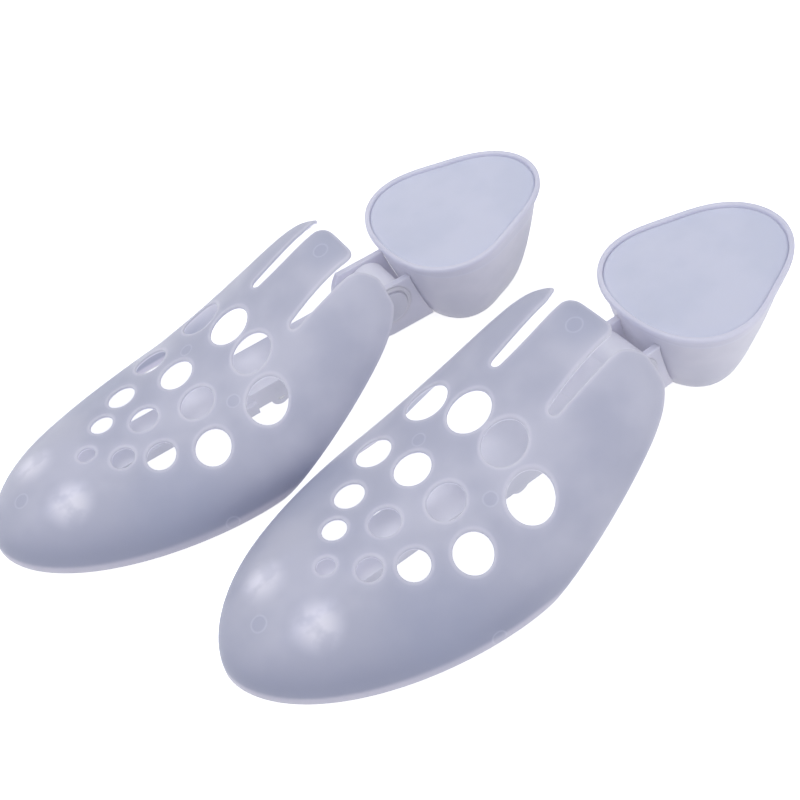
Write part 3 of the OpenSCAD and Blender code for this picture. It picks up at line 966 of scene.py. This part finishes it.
    def fold_lips(self, outer: np.ndarray, inner: np.ndarray, into: np.ndarray,
                  reach: np.ndarray, faces: list, near: np.ndarray) -> BMesh:
        """Join the outside and the inside with rounded lips.

        Args:
            outer: Points of the outside.
            inner: Points of the inside.
            into: Directions in which the wall is thick.
            reach: At the edges, the directions in which the lips stand out.
            faces: Triangles of the outside.
            near: Distances of the points from the nearest edge.

        Returns:
            The closed mesh.
        """
        bm = bmesh.new()
        layer, within = (bm.verts.layers.float.new(name) for name in (EDGE, UNDERSIDE))
        sheet = [bm.verts.new(p) for p in outer]
        for a, b, c in faces:
            bm.faces.new((sheet[a], sheet[b], sheet[c]))
        bmesh.ops.recalc_face_normals(bm, faces=bm.faces[:])
        for vert in [v for v in sheet if not v.link_faces]:
            bm.verts.remove(vert)
        index = {vert: i for i, vert in enumerate(sheet) if vert.is_valid}
        copy = bmesh.ops.duplicate(bm, geom=bm.verts[:] + bm.edges[:] + bm.faces[:])
        under = {i: copy["vert_map"][vert] for vert, i in index.items()}
        turned = [g for g in copy["geom"] if isinstance(g, BMFace)]
        bmesh.ops.reverse_faces(bm, faces=turned)
        for vert, i in index.items():
            vert[layer] = near[i]
        for i, vert in under.items():
            vert.co = inner[i]
            vert[layer], vert[within] = near[i], 1.0
        edges = [e for e in bm.edges if e.is_boundary and e.verts[0] in index]
        ring = {v: index[v] for e in edges for v in e.verts}
        bends = [math.radians(a) for a in (35, 65, 90)]
        stops = [(outer, s, -1) for s in bends] + [(inner, s, 1) for s in (*reversed(bends), 0.0)]
        for base, bend, sign in stops:
            made = bmesh.ops.extrude_edge_only(bm, edges=edges)["geom"]
            edges, linked = made_edges(made), {}
            for vert in made_verts(made):
                mate = next(e.other_vert(vert) for e in vert.link_edges
                            if e.other_vert(vert) in ring)
                linked[vert] = ring[mate]
            ring = linked
            for vert, i in ring.items():
                vert.co = (base[i] + reach[i] * self.lip * math.sin(bend)
                           + sign * into[i] * self.lip * (1 - math.cos(bend)))
                vert[layer], vert[within] = 0.0, float(sign > 0)
        bmesh.ops.weld_verts(bm, targetmap={vert: under[i] for vert, i in ring.items()})
        bmesh.ops.recalc_face_normals(bm, faces=bm.faces[:])
        for face in bm.faces:
            face.smooth = True
        return bm

    def add_webs(self, bm: BMesh) -> None:
        """Add the two webs that hold the rail's nose under the roof.

        Args:
            bm: The shell's mesh, which gains them.
        """
        layer, within = (bm.verts.layers.float[name] for name in (EDGE, UNDERSIDE))
        half, xs = self.web_thick / 2, np.linspace(39, 18, 8)
        arch = self.arch(xs)
        for side in (-1, 1):
            mid = side * self.web_y
            share = np.abs(mid + side * half) / self.half_width(xs)
            roof = self.ridge(xs) * (1 - share ** arch) ** (1 / arch) - 1.0
            outline = [(21, self.web_bottom), (34, self.web_bottom), *zip(xs, roof)]
            for vert in add_plate(bm, outline, mid - half, self.web_thick):
                vert[layer], vert[within] = FAR_FROM_EDGE, 1.0

    def build(self, side: Side, place: Matrix, material: Material) -> Object:
        """Make the shell of one stretcher.

        Args:
            side: The stretcher.
            place: From the stretcher's own frame to the pair's metres.
            material: The shell's finish.

        Returns:
            The piece.
        """
        bm = self.form()
        self.add_webs(bm)
        piece = mesh_piece(f"{side.value}_forepart_shell", bm, place, material, "foreparts")
        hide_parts(f"{side.value}_toe_shell")
        return piece


@dataclass
class HeelBlock:
    """Hollow tapered heel block with a rimmed top, a recessed lid and two ears."""

    hinge_x: float = 167.0
    hinge_z: float = 22.0
    centre_x: float = 205.0
    radius: float = 32.5
    height: float = 43.0
    tilt: float = 4.0
    foot_scale: float = 0.5
    foot_shift: float = 2.0
    swell: float = 0.08
    wall: float = 1.6
    rim_height: float = 2.6
    rim_out: float = 0.9
    recess: float = 1.0
    lid_thick: float = 1.6
    skirt_deep: float = 4.0
    ear_radius: float = 14.5
    ear_thick: float = 2.5
    ear_top: float = 31.5
    ear_inner: float = 8.3
    stop_top: float = 9.4
    stop_ahead: float = 6.0
    around: int = 128

    def scale(self, z: float) -> float:
        """Give the outline's size at a height, compared with the top's."""
        top = 1 - self.rim_out / self.radius
        return self.foot_scale + (top - self.foot_scale) * math.sqrt(max(0.0, z / self.height))

    def point(self, turn: float, z: float, scale: float, inset: float) -> Vector:
        """Give a point of the block's outline.

        Args:
            turn: Angle round the block.
            z: Level of the outline.
            scale: Size compared with the top.
            inset: Distance inside the outline.

        Returns:
            The point.
        """
        swell = 1 + self.swell * (math.cos(2 * turn) + math.cos(3 * turn))
        r = self.radius * scale * swell - inset
        up = z / self.height
        return Vector((self.centre_x + self.foot_shift * (1 - up) + r * math.cos(turn),
                       r * math.sin(turn),
                       z + up * r * math.cos(turn) * math.tan(math.radians(self.tilt))))

    def stack(self, levels: list[tuple[float, float, float]]) -> BMesh:
        """Loft a closed skin through outlines of given levels.

        Args:
            levels: Height, scale and inset of each outline, from end to end.

        Returns:
            The mesh.
        """
        bm = bmesh.new()
        turns = [2 * math.pi * i / self.around for i in range(self.around)]
        ring = bmesh.ops.create_circle(bm, segments=self.around, radius=1.0)["verts"]
        ring.sort(key=lambda v: math.atan2(v.co.y, v.co.x) % (2 * math.pi - 1e-6))
        edges = bm.edges[:]
        for vert, turn in zip(ring, turns):
            vert.co = self.point(turn, *levels[0])
        bmesh.ops.contextual_create(bm, geom=edges)
        for level in levels[1:]:
            made = bmesh.ops.extrude_edge_only(bm, edges=edges)["geom"]
            edges, fresh = made_edges(made), set(made_verts(made))
            ring = [next(e.other_vert(v) for e in v.link_edges if e.other_vert(v) in fresh)
                    for v in ring]
            for vert, turn in zip(ring, turns):
                vert.co = self.point(turn, *level)
        bmesh.ops.contextual_create(bm, geom=edges)
        bmesh.ops.recalc_face_normals(bm, faces=bm.faces[:])
        for face in bm.faces:
            face.smooth = len(face.verts) < 5
        return bm

    def cup_form(self) -> BMesh:
        """Build the cup with its rolled rim and the ledge under the lid.

        Returns:
            The mesh.
        """
        h, under = self.height, self.height - self.rim_height
        ledge = h - self.recess - self.lid_thick
        foot = [(z, self.scale(z), inset)
                for z, inset in ((0.0, 1.9), (0.0, 1.2), (0.08, 0.6), (0.35, 0.12))]
        rises = [under * (k / 28) ** 2 for k in range(4, 28)]
        neck = [(under - 0.35, self.scale(under), 0.0), (under - 0.1, self.scale(under), -0.1)]
        rim = [(z, 1, inset) for z, inset in (
            (under + 0.08, 0.5), (under + 0.3, 0.14), (under + 0.65, 0.0), (h - 0.85, 0.0),
            (h - 0.4, 0.1), (h - 0.12, 0.34), (h, 0.7), (h, 1.25), (h - 0.1, 1.6),
            (h - 0.35, 1.83), (h - 0.75, 1.9), (ledge + 0.05, 1.9), (ledge, 2.0))]
        falls = [under * f for f in (0.9, 0.8, 0.7, 0.58, 0.45, 0.34, 0.25, 0.17, 0.12, 0.08)]
        return self.stack([
            *foot, *((z, self.scale(z), 0.0) for z in rises), *neck, *rim,
            (ledge, self.scale(ledge), self.wall + 1.2),
            *((z, self.scale(z), self.wall) for z in falls),
            (2.2, self.scale(1.5), self.wall), (2.0, self.scale(1.2), self.wall + 1)])

    def lid_form(self) -> BMesh:
        """Build the lid with its soft edge and the skirt below it.

        Returns:
            The mesh.
        """
        top = self.height - self.recess
        seat = top - self.lid_thick
        skirt = seat - self.skirt_deep
        low, mid = self.scale(skirt), self.scale(seat)
        edge = [(z, 1, inset) for z, inset in (
            (top - 0.12, 7.0), (top - 0.10, 4.6), (top - 0.02, 3.7), (top, 3.2),
            (top - 0.06, 2.75), (top - 0.25, 2.35), (top - 0.6, 2.14), (seat + 0.05, 2.1),
            (seat, 2.2))]
        return self.stack([
            *edge, (seat, mid, self.wall + 1.6), (skirt, low, self.wall + 1.6),
            (skirt, low, self.wall + 2.8), (top - 1.5, mid, self.wall + 2.8),
            (top - 1.4, mid, self.wall + 3.4)])

    def wall_place(self, z: float) -> tuple[float, float]:
        """Give the front wall's middle in side view, on the outline of a level."""
        p = self.point(math.pi, z, self.scale(z), self.wall / 2)
        return p.x, p.z

    def add_boss(self, bm: BMesh, side: int) -> None:
        """Add the low round ring that frames the hinge pin's head.

        Args:
            bm: The mesh that gains it.
            side: 1 for the left ear and -1 for the right one.
        """
        y = side * (self.ear_inner + self.ear_thick)
        profile = [(6.9, -0.3), (6.9, 0.3), (7.15, 0.5), (8.3, 0.5), (8.7, 0.2), (8.8, -0.3)]
        verts = [bm.verts.new((self.hinge_x + r, y + side * rise, self.hinge_z))
                 for r, rise in profile]
        edges = [bm.edges.new((a, b)) for a, b in zip(verts, verts[1:] + verts[:1])]
        before = set(bm.faces)
        bmesh.ops.spin(bm, geom=verts + edges, cent=(self.hinge_x, 0, self.hinge_z),
                       axis=(0, 1, 0), angle=2 * math.pi, steps=64, use_merge=True)
        fresh = [f for f in bm.faces if f not in before]
        bmesh.ops.recalc_face_normals(bm, faces=fresh)
        for face in fresh:
            face.smooth = True

    def add_ears(self, bm: BMesh) -> None:
        """Add the two ears, the stop block between them and the bosses.

        Args:
            bm: The cup's mesh, which gains them.
        """
        bottom, top, ahead = self.hinge_z - self.ear_radius, self.ear_top, self.stop_ahead
        swing = [math.radians(90 + 180 * i / 40) for i in range(41)]
        front = [(self.hinge_x + self.ear_radius * math.cos(a),
                  min(top, self.hinge_z + self.ear_radius * math.sin(a))) for a in swing]
        rise = [self.wall_place(bottom + (top + 2 - bottom) * i / 10) for i in range(11)]
        rise = [p for p in rise if p[1] < top - 0.5]
        outline = front + rise + [(rise[-1][0] - 0.2, top)]
        for y in (self.ear_inner, -self.ear_inner - self.ear_thick):
            add_plate(bm, outline, y, self.ear_thick, 0.4)
        stop = [(self.hinge_x - ahead, bottom), (self.wall_place(bottom)[0], bottom),
                (self.wall_place(self.stop_top)[0], self.stop_top),
                (self.hinge_x - ahead, self.stop_top)]
        add_plate(bm, stop, -self.ear_inner - 0.5, 2 * self.ear_inner + 1)
        for side in (-1, 1):
            self.add_boss(bm, side)

    def build(self, side: Side, place: Matrix, shell: Material,
              lid: Material) -> list[Object]:
        """Make the heel block of one stretcher.

        Args:
            side: The stretcher.
            place: From the stretcher's own frame to the pair's metres.
            shell: The cup's finish.
            lid: The lid's finish.

        Returns:
            The pieces.
        """
        bm, name = self.cup_form(), side.value
        self.add_ears(bm)
        cup = mesh_piece(f"{name}_heel_block", bm, place, shell, f"{name}_heel")
        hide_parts(f"{name}_heel_cup")
        cover = mesh_piece(f"{name}_heel_cover", self.lid_form(), place, lid, f"{name}_heel")
        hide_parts(f"{name}_heel_lid")
        return [cup, cover]


@dataclass(frozen=True)
class SoftenedNode:
    """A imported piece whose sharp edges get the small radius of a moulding."""

    node: str
    body: str
    slot: str
    radius: float = 0.3
    sharp: float = 35.0

    def build(self, material: Material) -> Object:
        """Make the softened copy that stands for the node.

        Args:
            material: The piece's finish.

        Returns:
            The piece.
        """
        bm = bmesh.new()
        bm.from_mesh(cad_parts[self.node].data)
        bmesh.ops.remove_doubles(bm, verts=bm.verts[:], dist=1e-6)
        bmesh.ops.dissolve_limit(bm, angle_limit=math.radians(1), verts=bm.verts[:],
                                 edges=bm.edges[:])
        edges = [e for e in bm.edges
                 if e.is_manifold and e.calc_face_angle(0) > math.radians(self.sharp)]
        bmesh.ops.bevel(bm, geom=edges, offset=self.radius * METRES, segments=2, profile=0.5,
                        affect="EDGES", clamp_overlap=True, material=-1)
        piece = add_mesh(self.node + "_moulding", bm, material)
        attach(piece, self.body)
        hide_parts(self.node)
        return piece


@dataclass
class Stretcher:
    """One stretcher, from its shell to its heel block."""

    side: Side
    place: Matrix
    shell: ForepartShell = field(default_factory=ForepartShell)
    heel: HeelBlock = field(default_factory=HeelBlock)

    def build(self, looks: dict[str, Material]) -> list[Object]:
        """Make and dress all pieces.

        Args:
            looks: The finishes by name.

        Returns:
            The new pieces.
        """
        name = self.side.value
        pieces = [self.shell.build(self.side, self.place, looks["shell"])]
        pieces += self.heel.build(self.side, self.place, looks["cup"], looks["lid"])
        for node, body, radius, look in (
                ("rail", "foreparts", 0.35, "satin"), ("arm", f"{name}_slider", 0.35, "satin"),
                ("latch", f"{name}_release", 0.25, "satin"),
                ("hinge_pin", f"{name}_heel", 0.35, "rivet"),
                ("nose_pin", "foreparts", 0.25, "satin")):
            soft = SoftenedNode(f"{name}_{node}", body, "pale_plastic", radius)
            pieces.append(soft.build(looks[look]))
        for node in ("latch_pin", "latch_spring"):
            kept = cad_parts[f"{name}_{node}"]
            kept.data.materials.clear()
            kept.data.materials.append(looks["steel"])
        return pieces


@dataclass
class Studio:
    """Pale floor, soft lamps and the camera at the photograph's angle."""

    layout: PairLayout
    focal: float = 1090.9
    distance: float = 399.3
    azimuth: float = 62.34
    elevation: float = 47.73
    roll: float = -11.88
    slide_x: float = -18.35
    slide_y: float = -32.52
    aim: Place = (137.0, 55.0, 30.0)
    picture: float = 800.0
    sensor: float = 36.0
    floor_glow: float = 0.76
    room_light: float = 0.5

    def set_camera(self) -> None:
        """Place the camera."""
        az, el, roll = (math.radians(a) for a in (self.azimuth, self.elevation, self.roll))
        ahead = Vector((math.cos(az) * math.cos(el), math.sin(az) * math.cos(el), -math.sin(el)))
        level = Vector((math.sin(az), -math.cos(az), 0))
        up = level.cross(ahead)
        right = math.cos(roll) * level + math.sin(roll) * up
        rise = -math.sin(roll) * level + math.cos(roll) * up
        eye = (Vector(self.aim) - Vector((self.layout.middle_x, self.layout.middle_y, 0))
               + self.slide_x * right + self.slide_y * rise - self.distance * ahead) / 1000
        data = bpy.data.cameras.new("camera")
        data.sensor_width = self.sensor
        data.lens = self.focal / self.picture * self.sensor
        data.clip_start = 0.01
        camera = add_object("camera", data)
        turn = Matrix((right, rise, -ahead)).transposed()
        camera.matrix_world = Matrix.Translation(eye) @ turn.to_4x4()
        bpy.context.scene.camera = camera

    def add_lamp(self, name: str, place: Place, size: float, power: float,
                 colour: Colour) -> None:
        """Add a square soft lamp that looks at the middle of the pair.

        Args:
            name: The lamp's name.
            place: Where it hangs, in metres.
            size: Its width in metres.
            power: Its power in watts.
            colour: Its colour.
        """
        data = bpy.data.lights.new(name, "AREA")
        data.size, data.energy, data.color = size, power, colour
        lamp = add_object(name, data)
        lamp.location = place
        look = Vector((0, 0, 0.02)) - Vector(place)
        lamp.rotation_euler = look.to_track_quat("-Z", "Y").to_euler()

    def set_world(self) -> None:
        """Give the room a plain soft light and a white background."""
        world = bpy.data.worlds.new("studio")
        bpy.context.scene.world = world
        graph = NodeGraph(world)
        soft = graph.add("Background", inputs={"Color": (0.86, 0.89, 1.0, 1),
                                               "Strength": self.room_light})
        white = graph.add("Background", inputs={"Color": WHITE})
        mix = graph.add("MixShader", inputs={0: graph.seen(), 1: soft.outputs[0],
                                             2: white.outputs[0]})
        graph.add("OutputWorld", inputs={"Surface": mix.outputs[0]})

    def set_floor(self) -> None:
        """Lay the white floor, which keeps the soft shadow."""
        bm = bmesh.new()
        bmesh.ops.create_grid(bm, x_segments=1, y_segments=1, size=4.0)
        bmesh.ops.translate(bm, vec=(0, 0, -0.0004), verts=bm.verts[:])
        graph = NodeGraph(bpy.data.materials.new("white_floor"))
        matt = graph.add("BsdfDiffuse", inputs={"Color": (0.80, 0.80, 0.80, 1)})
        light = graph.add("Emission", inputs={"Color": WHITE, "Strength": self.floor_glow})
        both = graph.add("AddShader", inputs={0: matt.outputs[0], 1: light.outputs[0]})
        mix = graph.add("MixShader", inputs={0: graph.seen(), 1: matt.outputs[0],
                                             2: both.outputs[0]})
        graph.add("OutputMaterial", inputs={"Surface": mix.outputs[0]})
        add_mesh("floor", bm, graph.owner)

    def build(self) -> None:
        """Set up the whole studio."""
        self.set_camera()
        self.set_world()
        self.set_floor()
        self.add_lamp("overhead", (-0.25, 0.35, 1.25), 1.0, 5.2, (1.0, 0.99, 1.0))
        self.add_lamp("from_the_left", (-1.2, 0.1, 0.55), 0.7, 2.0, (1.0, 0.98, 1.0))
        self.add_lamp("from_the_viewer", (0.35, -1.1, 0.5), 0.8, 3.5, (1.0, 0.98, 1.0))
        bpy.context.scene.view_settings.view_transform = "Standard"


def finishes() -> dict[str, Material]:
    """Build every finish once.

    Returns:
        The finishes by name.
    """
    pale = tone(214, 217, 234)
    looks = {
        "shell": FrostedPlastic(
            "frosted_forepart", tone(199, 200, 212), tone(188, 190, 204), tone(216, 213, 224),
            patches=((24.5, 10, 20, 10), (29, -14.5, 19.4, 11)),
            rings=((148.5, 0.5, 54, 3.4), (15.3, -1.7, 18.6, 3.2), (73, -46.6, 3, 3),
                   (92.5, 16, 28, 3), (94.6, -19, 28, 3)),
            # Spots of painted shade at the tongue's tip and on the middle of both sides.
            painted_shade_spots=((151, 0, 53, 13), (60, -34, 14, 24), (60, 34, 14, 24)),
            # Painted glow on the shell's inside and painted shade on its lower sides.
            lips=True, inner_glow=0.36, painted_low_shade=0.85),
        "cup": FrostedPlastic(
            "frosted_heel_block", tone(216, 215, 226), tone(207, 207, 219), tone(218, 216, 226),
            # Painted glow along the heel block's rim and a faint painted glow all over it.
            rim_top=4.0, bands=(35.0,), inner_glow=0.08, outer_glow=0.08),
        "lid": FrostedPlastic("frosted_heel_cover", pale, tone(208, 212, 229), pale, rim_top=0.0,
                              # Faint painted glow on the lid.
                              sheen_rough=0.38, inner_glow=0.06, outer_glow=0.06),
        "satin": SatinPlastic("satin_moulding", tone(206, 206, 215), tone(196, 197, 207)),
        "rivet": SatinPlastic("satin_rivet", tone(208, 208, 219), tone(198, 199, 211),
                              inner_glow=0.05),
        "steel": DrawnSteel(),
    }
    return {name: look.material() for name, look in looks.items()}


def main() -> None:
    """Build the studio and both stretchers, and report each piece."""
    logging.basicConfig(level=logging.INFO, format="%(message)s")
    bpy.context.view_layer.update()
    layout = PairLayout()
    Studio(layout).build()
    looks = finishes()
    for side in Side:
        for piece in Stretcher(side, layout.place(side)).build(looks):
            log.info("%s: %d faces", piece.name, len(piece.data.polygons))


if __name__ == "__main__":
    main()
